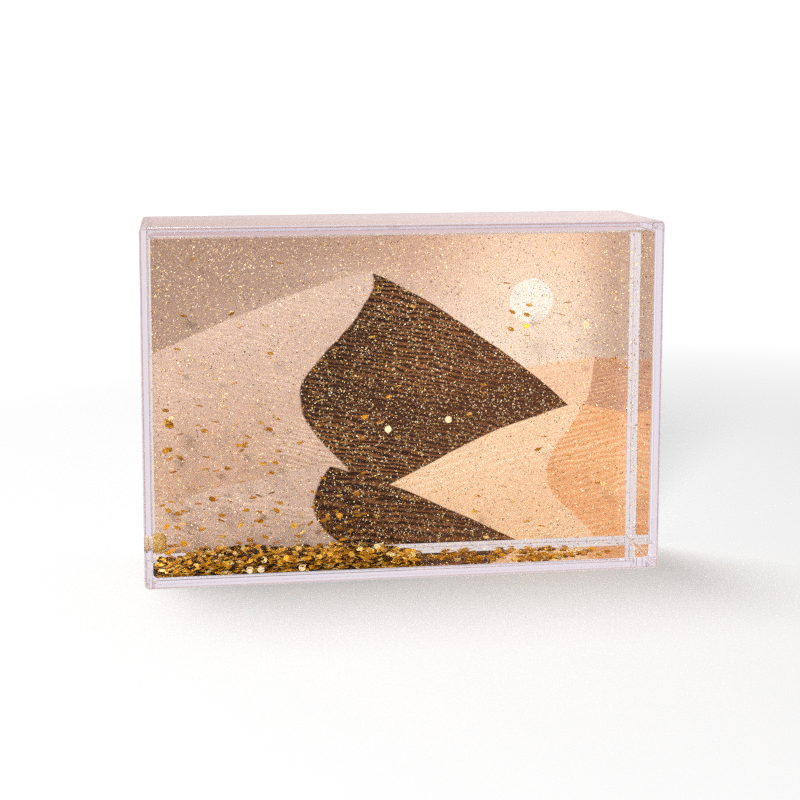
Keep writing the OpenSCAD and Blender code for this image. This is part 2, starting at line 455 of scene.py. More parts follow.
def flake_mesh(name, places, turns, radii, replaced=(), sides=FLAKE_SIDES):
    """Flat flakes as one mesh: a place, a rotation matrix and a radius for each."""
    angles = np.arange(sides) * 2 * np.pi / sides
    rim = np.stack([np.cos(angles), np.sin(angles), np.zeros(sides)], 1)
    points = np.concatenate([rim, rim])[None] * radii[:, None, None]
    points[:, :sides, 2] -= FLAKE_T / 2
    points[:, sides:, 2] += FLAKE_T / 2
    faces = [tuple(reversed(range(sides))), tuple(range(sides, 2 * sides))]
    faces += [(i, (i + 1) % sides, sides + (i + 1) % sides, sides + i) for i in range(sides)]
    verts, all_faces = many(points, faces, turns, places)
    return new_piece(name, verts, all_faces, "case", replaced, smooth=False)


def tilted(draw, tilt, count, forward=0.0):
    """Rotation matrices: a turn about the upright, then a tilt from level of about that many degrees,
    and a lean towards the front."""
    turns = np.zeros((count, 3, 3))
    for i in range(count):
        lean_x, lean_y = draw.normal((math.radians(forward), 0), math.radians(tilt))
        turns[i] = np.array(Euler((lean_x, lean_y, draw.uniform(0, FLAKE_TURN)), "ZYX").to_matrix())
    return turns


def kept_inside(places, turns, radii):
    """Moves flakes so that none reaches through the floor, the left wall, the rounded corner between them
    or the front plate."""
    reach = np.sqrt(np.clip(1 - turns[:, :, 2] ** 2, 0, 1)) * radii[:, None] + FLAKE_T
    lowest = np.array(liquid_low) + LIQUID_GAP + reach
    kept = np.maximum(places, lowest)
    below = np.clip(CHAMBER_R + lowest[:, 2] - kept[:, 2], 0, CHAMBER_R)
    corner = CHAMBER_R - np.sqrt(CHAMBER_R ** 2 - below ** 2)
    kept[:, 0] = np.maximum(kept[:, 0], lowest[:, 0] + CORNER_SHARE * corner)
    return kept


# The settled heap's outline, in shares of its length and height, and its lumps: each wave's turn along
# and across, in radians a millimetre, and its start
BED_OUTLINE = [
    (0, 0.3), (0.11, 0.36), (0.17, 0.82), (0.36, 1), (0.6, 0.9), (0.86, 0.8), (0.95, 0.45), (1, 0.02),
]
LUMP_WAVES = [(0.83, 1.3, 0.5), (-0.41, 0.57, 2.0)]
LUMP_MEAN = 1.1
LUMP_SHARE = 0.22

# The heap's flakes: how many lie behind the front band and how many in it, the band's near and far edge
# behind the front plate, the least and greatest height as shares of the heap's, how far they spill past
# the CAD's bed, their tilt and lean in degrees, and their sizes as shares of a flake's
BED_SEED = 11
BED_COUNT = 1900
BAND_COUNT = 560
BAND_NEAR = 0.5
BAND_FAR = 1.5
BED_LOW_SHARE = 0.7
BED_TOP_SHARE = 1.15
BED_SPILL = 2.0
BED_TILT = 13
BED_LEAN = 9
BED_FLAKE_SHARES = (0.96, 1.1)

# The heap's dark core, painted shade that shows between its flakes: its gaps to the front plate, to the
# rear plate and to the bed's end, its height as a share of the heap's and what it stands up more, its
# underside over the floor, and its steps
CORE_FRONT_GAP = 1.4
CORE_REAR_GAP = 0.5
CORE_END_GAP = 1.0
CORE_SHARE = 0.7
CORE_RISE = 0.15
CORE_UNDER = 0.1
CORE_STEPS_ALONG = 90
CORE_STEPS_ACROSS = 30


def bed_height(x, y):
    """Height of the settled heap over the floor, by the CAD's outline, with lumps."""
    outline = np.interp((x - bed_low.x) / bed_length, *zip(*BED_OUTLINE))
    lumps = 1.0
    for along, across, start in LUMP_WAVES:
        lumps = lumps * np.sin(along * x + across * y + start)
    return bed_rise * outline * (LUMP_MEAN + LUMP_SHARE * lumps)


def make_bed():
    """The settled heap's flakes, thousands of them."""
    draw = np.random.default_rng(BED_SEED)
    margin = FLAKE_R * BED_FLAKE_SHARES[1]
    band_y = liquid_low.y + BAND_FAR
    places = []
    for count, y_from, y_to, low_share in (
        (BED_COUNT, band_y, liquid_high.y - margin, BED_LOW_SHARE),
        (BAND_COUNT, liquid_low.y + BAND_NEAR, band_y, 0.0),
    ):
        x = draw.uniform(liquid_low.x + margin, bed_high.x + BED_SPILL, count)
        y = draw.uniform(y_from, y_to, count)
        z = floor_z + bed_height(x, y) * draw.uniform(low_share, BED_TOP_SHARE, count)
        places.append(np.stack([x, y, z], 1))
    places = np.concatenate(places)
    turns = tilted(draw, BED_TILT, len(places), BED_LEAN)
    radii = draw.uniform(*BED_FLAKE_SHARES, len(places)) * FLAKE_R
    places = kept_inside(places, turns, radii)
    return flake_mesh("settled_flakes", places, turns, radii, ["settled_glitter"])


def make_core():
    """The settled heap's dark core under its flakes: painted shade that shows between them."""
    ys = np.linspace(liquid_low.y + CORE_FRONT_GAP, liquid_high.y - CORE_REAR_GAP, CORE_STEPS_ACROSS)
    base_z = floor_z + CORE_UNDER
    rings = []
    for x in np.linspace(liquid_low.x + CHAMBER_R, bed_high.x - CORE_END_GAP, CORE_STEPS_ALONG):
        top = [(x, y, floor_z + CORE_RISE + CORE_SHARE * float(bed_height(x, y))) for y in ys]
        rings.append(top + [(x, ys[-1], base_z), (x, ys[0], base_z)])
    return lofted_piece("settled_shade_core", rings, "case", ["settled_glitter"])


# Loose flakes on the floor: how many groups, how far from the heap they reach and how they thin out, their
# margin to the plates, the least and greatest number in one, their spread along and across, the gaps that
# flakes keep to the plates, their tilt in degrees, and the heights at which they lie
FLOOR_SEED = 23
GROUPS = 26
GROUP_REACH = 62.0
GROUP_THINNING = 1.5
GROUP_MARGIN = 3.0
GROUP_LEAST = 2
GROUP_MOST = 8
GROUP_SPREAD = (3.2, 1.8)
FLOOR_FRONT_GAP = 1.1
FLOOR_REAR_GAP = 1.3
FLOOR_TILT = 7
LAYERS = 3
FIRST_LAYER = 0.16
LAYER_T = 0.1


def make_floor_flakes():
    """Loose flakes on the chamber floor, right of the heap, in small groups."""
    draw = np.random.default_rng(FLOOR_SEED)
    places = []
    for _ in range(GROUPS):
        middle = np.array([
            bed_high.x + GROUP_REACH * draw.uniform(0, 1) ** GROUP_THINNING,
            draw.uniform(liquid_low.y + GROUP_MARGIN, liquid_high.y - GROUP_MARGIN),
        ])
        for k in range(draw.integers(GROUP_LEAST, GROUP_MOST + 1)):
            x, y = middle + draw.normal(0, GROUP_SPREAD)
            places.append((x, y, floor_z + FIRST_LAYER + LAYER_T * (k % LAYERS)))
    places = np.array(places)
    places[:, 1] = np.clip(places[:, 1], liquid_low.y + FLOOR_FRONT_GAP, liquid_high.y - FLOOR_REAR_GAP)
    turns = tilted(draw, FLOOR_TILT, len(places))
    radii = np.full(len(places), FLAKE_R)
    return flake_mesh("floor_flakes", kept_inside(places, turns, radii), turns, radii)


# Drifting flakes: their margins, and the room over the heap. The thick ones keep to shares of that room
# and thin out by powers. The clump's middle counts from the liquid's low left front corner
DRIFT_SEED = 51
DRIFT_MARGIN = (3, 1.6, 3)
OVER_BED = 2
THICK_COUNT = 90
THICK_POWERS = (1.3, 1, 1.5)
THICK_SHARES = (0.42, 1, 0.45)
THIN_COUNT = 36
CLUMP_COUNT = 9
CLUMP_AT = (5, 8, 47)
CLUMP_SPREAD = (1, 1.4, 1.8)
DRIFT_TILT = 17
DRIFT_LEAN = 6


def make_drift():
    """More drifting flakes: most low on the left, some anywhere, and a clump by the left wall."""
    draw = np.random.default_rng(DRIFT_SEED)
    low = np.array(liquid_low) + (DRIFT_MARGIN[0], DRIFT_MARGIN[1], bed_rise + OVER_BED)
    room = np.array((liquid_high.x, liquid_high.y, level_z)) - low - DRIFT_MARGIN
    thick = draw.uniform(0, 1, (THICK_COUNT, 3)) ** THICK_POWERS * THICK_SHARES * room + low
    thin = draw.uniform(0, 1, (THIN_COUNT, 3)) * room + low
    clump = np.array(liquid_low) + CLUMP_AT + draw.normal(0, 1, (CLUMP_COUNT, 3)) * CLUMP_SPREAD
    places = np.concatenate([thick, thin, clump])
    turns = tilted(draw, DRIFT_TILT, len(places), DRIFT_LEAN)
    return flake_mesh("drifting_more", places, turns, np.full(len(places), FLAKE_R))


# Pale discs: X, how far behind the ones against the front plate, and height over the floor, then their
# lean in degrees, its spread in radians, and their size as a share of a flake's
DISC_SEED = 8
DISC_FRONT_GAP = 0.45
DISCS = [
    (-4.5, 9, 42), (14.0, 6, 45), (58.5, 12, 73), (-48.0, 0, 1.3), (-44.6, 0, 1.4), (-32.0, 0, 1.4),
]
DISC_LEAN = 78
DISC_SPREAD = (0.05, 0.1)
DISC_SHARE = 0.95
DISC_SIDES = 16


def make_discs():
    """A few round pale discs that show their face: some adrift, some against the front plate."""
    draw = np.random.default_rng(DISC_SEED)
    front = liquid_low.y + DISC_FRONT_GAP
    places = np.array([(x, front + behind, floor_z + up) for x, behind, up in DISCS])
    turns = []
    for _ in DISCS:
        lean_x = math.radians(DISC_LEAN) + draw.normal(0, DISC_SPREAD[0])
        lean_y = draw.normal(0, DISC_SPREAD[1])
        turns.append(np.array(Euler((lean_x, lean_y, 0)).to_matrix()))
    radii = np.full(len(places), DISC_SHARE * FLAKE_R)
    return flake_mesh("pale_discs", places, np.array(turns), radii, sides=DISC_SIDES)


# Fine grains: how many, their margin, the least reach of one's corners, what the largest has more, how
# rare large ones are, and the shape of one: a flat three-sided pyramid
DUST_SEED = 37
DUST_COUNT = 32000
DUST_MARGIN = 0.5
GRAIN_R = 0.18
GRAIN_MORE = 0.18
GRAIN_RARITY = 1.5
GRAIN_SHAPE = np.array([(1, 0, 0), (-0.5, 0.866, 0), (-0.5, -0.866, 0), (0, 0, 0.35)])
GRAIN_FACES = [(0, 1, 3), (1, 2, 3), (2, 0, 3), (2, 1, 0)]


def make_dust():
    """Fine sparkle through all the liquid: small flat three-cornered grains."""
    draw = np.random.default_rng(DUST_SEED)
    low = np.array(liquid_low) + DUST_MARGIN
    high = np.array((liquid_high.x, liquid_high.y, level_z)) - DUST_MARGIN
    places = draw.uniform(low, high, (DUST_COUNT, 3))
    size = GRAIN_R + GRAIN_MORE * draw.uniform(0, 1, DUST_COUNT) ** GRAIN_RARITY
    spin = draw.uniform(0, 2 * math.pi, (DUST_COUNT, 3))
    turns = np.array([np.array(Euler(s).to_matrix()) for s in spin])
    verts, faces = many(GRAIN_SHAPE[None] * size[:, None, None], GRAIN_FACES, turns, places)
    return new_piece("sparkle_dust", verts, faces, "case", smooth=False)


# Material tools

WHITE = (1, 1, 1, 1)


def linear(red, green, blue):
    """A colour written in 0 to 255 as a screen shows it, as the light values that shaders take."""
    def one(c):
        c = c / 255
        return c / 12.92 if c <= 0.04045 else ((c + 0.055) / 1.055) ** 2.4
    return (one(red), one(green), one(blue), 1)


class Graph:
    """Writes the nodes of a material or a world as sums."""

    def __init__(self, owner):
        owner.use_nodes = True
        self.owner = owner
        self.tree = owner.node_tree

    def node(self, kind, **settings):
        made = self.tree.nodes.new(kind)
        for key, value in settings.items():
            setattr(made, key, value)
        return made

    def put(self, socket, value):
        """Links or sets one input."""
        if isinstance(value, Wire):
            self.tree.links.new(value.socket, socket)
        else:
            socket.default_value = value

    def result(self, kind, *values, **settings):
        """The first output of a new node whose first inputs take those values."""
        made = self.node(kind, **settings)
        for socket, value in zip(made.inputs, values):
            self.put(socket, value)
        return Wire(self, made.outputs[0])

    def math(self, operation, *values):
        return self.result("ShaderNodeMath", *values, operation=operation)

    def coordinates(self, kind):
        return Wire(self, self.node("ShaderNodeTexCoord").outputs[kind])

    def place(self):
        """The surface's own coordinates, in millimetres."""
        scaled = self.node("ShaderNodeVectorMath", operation="SCALE")
        self.put(scaled.inputs[0], self.coordinates("Object"))
        scaled.inputs["Scale"].default_value = 1 / MM
        return Wire(self, scaled.outputs[0])

    def split(self, vector):
        made = self.node("ShaderNodeSeparateXYZ")
        self.put(made.inputs[0], vector)
        return [Wire(self, s) for s in made.outputs]

    def join(self, x, y):
        return self.result("ShaderNodeCombineXYZ", x, y)

    def noise(self, vector, scale, detail=2.0, roughness=0.5, plane="3D"):
        """Smooth noise from 0 to 1. In one dimension the place is a number, and else a vector."""
        made = self.node("ShaderNodeTexNoise", noise_dimensions=plane)
        self.put(made.inputs["W" if plane == "1D" else "Vector"], vector)
        made.inputs["Scale"].default_value = scale
        made.inputs["Detail"].default_value = detail
        made.inputs["Roughness"].default_value = roughness
        return Wire(self, made.outputs["Fac"])

    def step(self, value, low, high, to_low=0.0, to_high=1.0, curve="LINEAR"):
        """Goes evenly from to_low at low to to_high at high, and stays there on either side."""
        numbers = (value, low, high, to_low, to_high)
        return self.result("ShaderNodeMapRange", *numbers, interpolation_type=curve)

    def smooth(self, *numbers):
        """The same step with soft ends."""
        return self.step(*numbers, curve="SMOOTHSTEP")

    def mix(self, share, first, second):
        """A colour between two colours."""
        made = self.node("ShaderNodeMix", data_type="RGBA")
        self.put(made.inputs["Factor"], share)
        self.put(made.inputs[6], first)
        self.put(made.inputs[7], second)
        return Wire(self, made.outputs[2])

    def ramp(self, value, stops):
        """A colour from (place, colour) stops, each colour as a screen shows it."""
        made = self.node("ShaderNodeValToRGB")
        points = made.color_ramp.elements
        while len(points) < len(stops):
            points.new(0.5)
        for point, (where, colour) in zip(points, stops):
            point.position = where
            point.color = linear(*colour)
        self.put(made.inputs[0], value)
        return Wire(self, made.outputs[0])

    def each(self):
        """A number from 0 to 1, another on each loose part of the mesh."""
        return Wire(self, self.node("ShaderNodeNewGeometry").outputs["Random Per Island"])

    def light(self, kind):
        """What the light path tells of a ray."""
        return Wire(self, self.node("ShaderNodeLightPath").outputs[kind])

    def glass_ray(self):
        """1 for a ray that a mirroring or clear face sends on."""
        return self.math("MAXIMUM", self.light("Is Glossy Ray"), self.light("Is Transmission Ray"))

    def above_zero(self, value):
        return self.math("MAXIMUM", value, 0.0)

    def bump(self, height, strength, distance):
        made = self.node("ShaderNodeBump")
        made.inputs["Strength"].default_value = strength
        made.inputs["Distance"].default_value = distance * MM
        self.put(made.inputs["Height"], height)
        return Wire(self, made.outputs[0])

    def finish(self, **values):
        """Sets the surface shader's inputs by name, with underscores for spaces."""
        for key, value in values.items():
            self.put(self.tree.nodes["Principled BSDF"].inputs[key.replace("_", " ")], value)
        return self.owner


class Wire:
    """A node's output that takes part in sums."""

    def __init__(self, graph, socket):
        self.graph = graph
        self.socket = socket

    def __add__(self, other):
        return self.graph.math("ADD", self, other)

    def __radd__(self, other):
        return self.graph.math("ADD", other, self)

    def __sub__(self, other):
        return self.graph.math("SUBTRACT", self, other)

    def __rsub__(self, other):
        return self.graph.math("SUBTRACT", other, self)

    def __mul__(self, other):
        return self.graph.math("MULTIPLY", self, other)

    def __rmul__(self, other):
        return self.graph.math("MULTIPLY", other, self)

    def __truediv__(self, other):
        return self.graph.math("DIVIDE", self, other)


def new_graph(name):
    return Graph(bpy.data.materials.new(name))


def dress(piece, material):
    piece.data.materials.clear()
    piece.data.materials.append(material)


def clear(piece):
    """Light on what is inside passes a clear piece, and the fine dust, straight through."""
    piece.visible_shadow = False
    piece.visible_diffuse = False


# Clear pieces

PLASTIC_IOR = 1.5
LIQUID_IOR = 1.42
PLATE_TINT = (254, 253, 254)
FRONT_TINT = (252, 250, 252)
WALL_TINT = (236, 227, 237)
# Painted reflection: the print's tan colours, as the front bevel shows them
BEVEL_PAINTED_REFLECTION = (196, 160, 142)
TRAY_TINT = (253, 251, 254)
RIB_TINT = (222, 214, 226)
LIQUID_TINT = (255, 252, 248)

# How rough the handling marks are
CASE_HAZE = 0.03
PLATE_HAZE = 0.02
TRAY_HAZE = 0.04

# The band of painted reflection round the front bevel, in the print's tan colours: its edges inside the
# outline, its depth and its strength, then the widths over which tints fade across the front and along the
# depth
BEVEL_OUTER = 0.25
BEVEL_INNER = 0.8
BEVEL_DEPTH = 0.6
BEVEL_STRENGTH = 0.8
TINT_FADE = 0.15
DEPTH_FADE = 0.2

# How far behind the card the rib's tint starts and is full
RIB_TINT_FROM = 3.0
RIB_TINT_TO = 5.0


def polished(g, place, colour, haze):
    """Polished clear plastic, with faint handling marks in its gloss."""
    marks = g.noise(place, 0.35, 4, 0.65)
    rough = g.smooth(marks, 0.62, 0.8, 0.0, haze)
    return g.finish(Base_Color=colour, Roughness=rough, IOR=PLASTIC_IOR, Transmission_Weight=1.0)


def plate_material():
    g = new_graph("clear_plate")
    return polished(g, g.place(), linear(*PLATE_TINT), PLATE_HAZE)


def case_material():
    """Light that runs along inside a wall is tinted more than light that only crosses the front plate.
    A band round the front bevel is painted reflection, in the print's tan colours."""
    g = new_graph("clear_plastic")
    place = g.place()
    x, y, z = g.split(place)
    from_side = case_high.x - g.math("ABSOLUTE", x)
    from_top = mid_z - g.math("ABSOLUTE", z - mid_z)
    in_side = g.smooth(from_side, side_wall, side_wall - TINT_FADE)
    in_top = g.smooth(from_top, wall, wall - TINT_FADE)
    colour = g.mix(g.math("MAXIMUM", in_side, in_top), linear(*FRONT_TINT), linear(*WALL_TINT))
    inset = g.math("MINIMUM", from_side, from_top)
    # A band of painted reflection round the front bevel
    bevel = g.smooth(inset, BEVEL_OUTER, BEVEL_OUTER + TINT_FADE)
    bevel = bevel * g.smooth(inset, BEVEL_INNER, BEVEL_INNER - TINT_FADE)
    bevel = bevel * g.smooth(y, case_low.y + BEVEL_DEPTH, case_low.y + BEVEL_DEPTH - DEPTH_FADE)
    return polished(g, place, g.mix(bevel * BEVEL_STRENGTH, colour, linear(*BEVEL_PAINTED_REFLECTION)), CASE_HAZE)


def tray_material():
    """More tint in the grip rib, which light passes along."""
    g = new_graph("clear_tray")
    place = g.place()
    x, y, _ = g.split(place)
    rib = g.smooth(g.math("ABSOLUTE", x), GRIP_T / 2 + GRIP_ROOT_R, GRIP_T / 2)
    rib = rib * g.smooth(y, print_high.y + RIB_TINT_FROM, print_high.y + RIB_TINT_TO)
    return polished(g, place, g.mix(rib, linear(*TRAY_TINT), linear(*RIB_TINT)), TRAY_HAZE)


def liquid_material():
    """Clear liquid, a little warm."""
    g = new_graph("clear_liquid")
    return g.finish(Base_Color=linear(*LIQUID_TINT), Roughness=0.0, IOR=LIQUID_IOR, Transmission_Weight=1.0)


# Glitter, plug and glue

PLUG_IOR = 1.4
# The width over which the plug's amber passes into the paler colour that it has in the wall
PLUG_FADE = 0.4


def flake_material(name, darkest_painted_shade, painted_shade_share):
    """Metallised film, with painted glints and painted shade: each flake's colour runs at random from dark
    to pale gold, as if it caught more or less light than the next.
    """
    g = new_graph(name)
    grain = g.noise(g.place(), 3.0, 3, 0.6)
    # Painted shade at the ramp's dark end, painted glints at its pale end
    colour = g.ramp(g.each() * 0.86 + grain * 0.14, [
        (0.0, darkest_painted_shade),
        (painted_shade_share, (66, 38, 6)),
        (painted_shade_share + 0.1, (166, 108, 14)),
        (0.7, (214, 152, 26)),
        (0.84, (246, 198, 70)),
        (0.95, (255, 242, 190)),
    ])
    return g.finish(
        Base_Color=colour, Metallic=0.35, Roughness=g.smooth(grain, 0.3, 0.7, 0.25, 0.45),
        Specular_Tint=linear(224, 160, 60),
    )


def disc_material():
    """Pale pearly film."""
    g = new_graph("pale_discs")
    colour = g.mix(g.noise(g.place(), 2.0, 3, 0.6), linear(255, 240, 204), linear(240, 206, 150))
    return g.finish(Base_Color=colour, Metallic=0.2, Roughness=0.3)


def dust_material():
    """Fine sparkle: each grain's colour runs at random from painted shade through gold to painted glints.
    """
    g = new_graph("sparkle")
    # Painted shade at the ramp's dark end, painted glints at its pale end
    colour = g.ramp(g.each(), [
        (0.0, (58, 36, 18)),
        (0.18, (140, 96, 42)),
        (0.32, (226, 180, 92)),
        (0.56, (255, 228, 158)),
        (1.0, (255, 248, 220)),
    ])
    return g.finish(Base_Color=colour, Metallic=0.25, Roughness=0.3)


def shade_core_material():
    """Painted shade: the heap's dark inside, which shows between the flakes."""
    g = new_graph("heap_painted_shade")
    spots = g.noise(g.place(), 1.6, 4, 0.7)
    colour = g.ramp(spots, [(0.4, (14, 8, 3)), (0.6, (46, 26, 6)), (0.8, (110, 68, 14))])
    return g.finish(Base_Color=colour, Roughness=0.6)


def rubber_material():
    """Soft yellowish plug, amber where it stands in the liquid."""
    g = new_graph("soft_plug")
    place = g.place()
    cloud = g.noise(place, 0.9, 3, 0.6)
    x, _, _ = g.split(place)
    in_wall = g.smooth(x, liquid_low.x + PLUG_FADE, liquid_low.x)
    amber = g.mix(g.smooth(cloud, 0.35, 0.7), linear(208, 166, 78), linear(236, 206, 130))
    return g.finish(
        Base_Color=g.mix(in_wall, amber, linear(244, 226, 188)), Roughness=0.5, IOR=PLUG_IOR,
        Transmission_Weight=0.6, Normal=g.bump(g.noise(place, 5, 2), 0.2, 0.05),
    )


def glue_material(name, tint):
    """Cloudy clear glue."""
    g = new_graph(name)
    pale = linear(*tint)
    dark = tuple(0.8 * c for c in pale[:3]) + (1,)
    return g.finish(Base_Color=g.mix(g.noise(g.place(), 1.4, 3, 0.6), pale, dark), Roughness=0.35)


# The picture, in shares of its width and height

# Its colours, each as a screen shows it: lit sand high up, low down and on its ripples, and the same for
# the shaded side
HAZY = (linear(212, 184, 166), linear(228, 202, 180), linear(240, 214, 194))
HAZY_SHADE = (linear(170, 132, 116), linear(192, 154, 134), linear(202, 164, 142))
ROSY = (linear(252, 208, 174), linear(250, 198, 156), linear(255, 224, 192))
ROSY_SHADE = (linear(204, 150, 120), linear(228, 176, 140), linear(242, 194, 156))
TAUPE = (linear(216, 190, 174), linear(208, 174, 150), linear(238, 214, 196))
DEEP_SHADE = (linear(12, 6, 4), linear(66, 33, 18), linear(158, 98, 52))
PEACH = (linear(255, 216, 178), linear(255, 206, 156), linear(255, 234, 200))
SOFT_SHADE = (linear(244, 176, 122), linear(255, 196, 140), linear(255, 218, 170))

# Dunes from back to front: where the peak is, how steeply the outline falls to the left and right, how
# the crest drifts, sways and turns on its way down, the colours, and the ripples: how many, how they lean,
# and how strong they are
DUNES = [
    ((0.16, 0.56), (0.5, 0.28), (0.25, 0.10, 9), HAZY, HAZY_SHADE, (80, 0.10, 0.5)),
    ((0.93, 0.60), (0.42, 0.5), (-0.30, 0.10, 8), ROSY, ROSY_SHADE, (72, -0.25, 0.6)),
    ((0.45, 0.88), (0.66, 1.3), (-0.20, 0.15, 8), TAUPE, DEEP_SHADE, (64, 0.30, 0.7)),
    ((0.90, 0.44), (0.72, 0.5), (-0.12, 0.16, 10), PEACH, SOFT_SHADE, (52, -0.35, 0.7)),
    ((0.36, 0.26), (0.34, 0.82), (0.10, 0.20, 9), TAUPE, DEEP_SHADE, (46, 0.20, 0.7)),
]

# What sets one dune's noise off from the next, the power by which outlines fall, how uneven outlines and
# crests are, how soft their edges are, and how far ripples wander
OWN_START = 7.3
OUTLINE_POWER = 1.25
OUTLINE_JITTER = 0.03
CREST_JITTER = 0.024
EDGE_SHARE = 0.0016
WANDER = 0.05

# The sun's middle, and how far from it the disc's edge and the glow reach, in shares of the height
SUN = (0.79, 0.78)
SUN_EDGE = (0.072, 0.068)
SUN_GLOW = (0.42, 0.03)

# How deep the ink reaches from the card's front, and the depth over which it ends
INK_DEPTH = 0.1
INK_FADE = 0.05


def falling(g, run, steepness):
    """How far an outline has come down at that distance from its peak."""
    return g.math("POWER", g.above_zero(run), OUTLINE_POWER) * steepness


def dune(g, u, v, wander, patches, behind, k):
    """One dune in front of what lies behind it: a lit and a shaded side, parted by a winding crest."""
    (peak_u, peak_v), (left, right), (drift, sway, turns), lit, shade, (count, lean, strength) = DUNES[k]
    own = OWN_START * k
    uneven = g.noise(u + own, 3.2, 2, 0.5, plane="1D") * OUTLINE_JITTER - OUTLINE_JITTER / 2
    top = peak_v - falling(g, peak_u - u, left) - falling(g, u - peak_u, right) + uneven
    drop = g.above_zero(peak_v - v)
    winding = g.math("SINE", drop * turns + own) * g.math("POWER", drop, 0.7) * sway
    ragged = g.noise(v + own, 5.0, 3, plane="1D") * CREST_JITTER - CREST_JITTER / 2
    past = u - (peak_u + drop * drift + winding + ragged)
    ripple = g.math("SINE", ((v + u * lean) * count + wander * (WANDER * count)) * (2 * math.pi))
    lines = g.smooth(ripple, -0.6, 1.0)
    sunny = g.mix(g.smooth(drop, 0.0, 0.8), lit[0], lit[1])
    sunny = g.mix(lines * patches * strength, sunny, lit[2])
    dark = g.mix(g.smooth(past, 0.0, 0.45), shade[0], shade[1])
    dark = g.mix(lines * (0.3 + 0.7 * patches) * strength, dark, shade[2])
    sand = g.mix(g.smooth(past, -1.5 * EDGE_SHARE, 1.5 * EDGE_SHARE), sunny, dark)
    return g.mix(g.smooth(top - v, -EDGE_SHARE, EDGE_SHARE), behind, sand)


def sky(g, u, v):
    """A pale evening sky with its sun, darker high on the left and along the right edge."""
    high = g.mix(g.smooth(u, 0.2, 0.95), linear(166, 138, 122), linear(244, 200, 170))
    low = g.mix(g.smooth(u, 0.0, 0.5), linear(180, 152, 134), linear(246, 224, 208))
    streaks = g.noise(g.join(u * 1.2, v * 7.0), 2.0, 4, 0.55, plane="2D")
    colour = g.mix(g.smooth(v + streaks * 0.18 - 0.09, 0.5, 1.0), low, high)
    du = (u - SUN[0]) * (print_w / print_h)
    dv = v - SUN[1]
    away = g.math("SQRT", du * du + dv * dv)
    colour = g.mix(g.smooth(away, *SUN_GLOW) * 0.6, colour, linear(255, 238, 214))
    colour = g.mix(g.smooth(u, 0.86, 1.0) * 0.8, colour, linear(180, 152, 132))
    return g.mix(g.smooth(away, *SUN_EDGE), colour, linear(255, 251, 240))


def print_material():
    """The card: desert dunes under a pale sky at the front, in print with little gloss, and bare paper."""
    g = new_graph("printed_picture")
    x, y, z = g.split(g.place())
    u = (x - print_low.x) / print_w
    v = (z - print_low.z) / print_h
    wander = g.noise(g.join(u * 5.0, v * 9.0), 1.3, 3, 0.5, plane="2D")
    patches = g.smooth(g.noise(g.join(u * 3.0, v * 4.0), 1.4, 4, 0.6, plane="2D"), 0.35, 0.65)
    picture = sky(g, u, v)
    for k in range(len(DUNES)):
        picture = dune(g, u, v, wander, patches, picture, k)
    grain = g.noise(g.join(x, z), 2.8, 2, 0.7, plane="2D")
    picture = g.mix(g.smooth(grain, 0.25, 0.75) * 0.16, picture, linear(112, 78, 62))
    fibre = g.noise(g.join(x, z * 1.6), 1.1, 5, 0.7, plane="2D")
    paper = g.mix(g.smooth(fibre, 0.3, 0.75), linear(244, 242, 238), linear(231, 228, 222))
    ink_y = print_low.y + INK_DEPTH
    on_front = g.smooth(y, ink_y, ink_y + INK_FADE, 1.0, 0.0)
    return g.finish(
        Base_Color=g.mix(on_front, paper, picture), Roughness=g.smooth(fibre, 0.3, 0.7, 0.34, 0.46),
        Specular_IOR_Level=0.15,
    )


# Stage

# The floor's width and how far it lies under the object, both in metres, its tone, and the glow that only
# the camera sees, near and far, with the distances from the object at which it starts and is full
FLOOR_SIZE = 12
FLOOR_DROP = 0.0002
FLOOR_TONE = 0.57
NEAR_GLOW = 0.03
FAR_GLOW = 0.8
GLOW_FROM = 230.0
GLOW_TO = 800.0

# What reflections see of the floor in front of the object, which starts and is full at these depths: dark
# after one reflection, pale after more
FLAG_COLOUR = (90, 62, 50)
LONG_WAY_COLOUR = (236, 222, 222)
FLAG_FROM_Y = -20.0
FLAG_TO_Y = -27.0

# The sky's light on the object. Then what reflections see of the sky, by the direction's parts along the
# axes: its colours near the horizon, in the middle and to the right, and its colour behind the camera
SKY_LIGHT = 0.5
MIRROR_COLOUR = (228, 206, 200)
MIRROR_RIGHT_COLOUR = (250, 234, 230)
RIGHT_FROM = 0.0
RIGHT_TO = 0.3
HORIZON_FROM = 0.11
HORIZON_TO = 0.2
BEHIND_COLOUR = (132, 104, 92)
BEHIND_FROM = -0.25
BEHIND_TO = -0.65

# The lamps: name, place and size in metres, and power in watts. They face one point, in metres
LAMPS = [("key", (-0.44, -0.9, 0.6), 0.34, 12.4), ("back", (-0.22, 0.4, 0.92), 0.4, 8.0)]
LAMP_AIM = (0, 0, 0.05)

# The camera's place, its turns in degrees, and its lens in pixels of the picture. The picture was cut
# from a wider one, so the lens is shifted
CAMERA_AT = (-70.3, -414.8, 145.4)
CAMERA_YAW = 6.435
CAMERA_PITCH = -5.749
CAMERA_ROLL = -0.232
FOCAL_PX = 1346.2
MIDDLE_PX = (322.0, 238.0)
IMAGE_PX = 800.0
SENSOR = 36.0

# Light crosses many clear faces before it reaches the card
BOUNCES = 96


